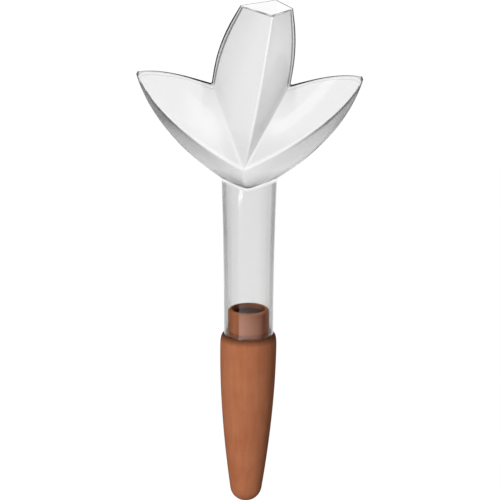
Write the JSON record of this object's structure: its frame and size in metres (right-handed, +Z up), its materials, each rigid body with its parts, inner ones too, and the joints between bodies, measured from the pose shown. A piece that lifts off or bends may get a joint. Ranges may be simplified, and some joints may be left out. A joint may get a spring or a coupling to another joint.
{
  "type": "plant waterer",
  "caption": "Plant waterer: clear leaf-shaped water reservoir with an open mouth, on a flared tube that fits over the neck of a hollow porous clay spike, with a soft seal ring.",
  "frame": {"origin": "on the axis, at the spike's seat where the tube's foot stands, level with the soil", "axes": "+Z up along the spike and tube, +X towards the side that the middle leaf leans to, -Y to the front"},
  "size_m": [0.1098, 0.042, 0.2513],
  "materials": {
    "terracotta": "unglazed porous fired clay, fine speckle and faint streaks",
    "pale_rubber": "soft matt seal",
    "clear_plastic": "clear polished moulded plastic"
  },
  "bodies": {
    "spike": {"clay_spike": "terracotta"},
    "ring": {"seal_ring": "pale_rubber"},
    "top": {"reservoir": "clear_plastic"}
  },
  "joints": [
    {"name": "swivel", "type": "hinge", "parent": "spike", "child": "ring", "pos_m": [0, 0, 0], "axis": [0, 0, 1], "continuous": true},
    {"name": "lift_off", "type": "slide", "parent": "ring", "child": "top", "axis": [0, 0, 1], "range_m": [0, 0.03]}
  ]
}
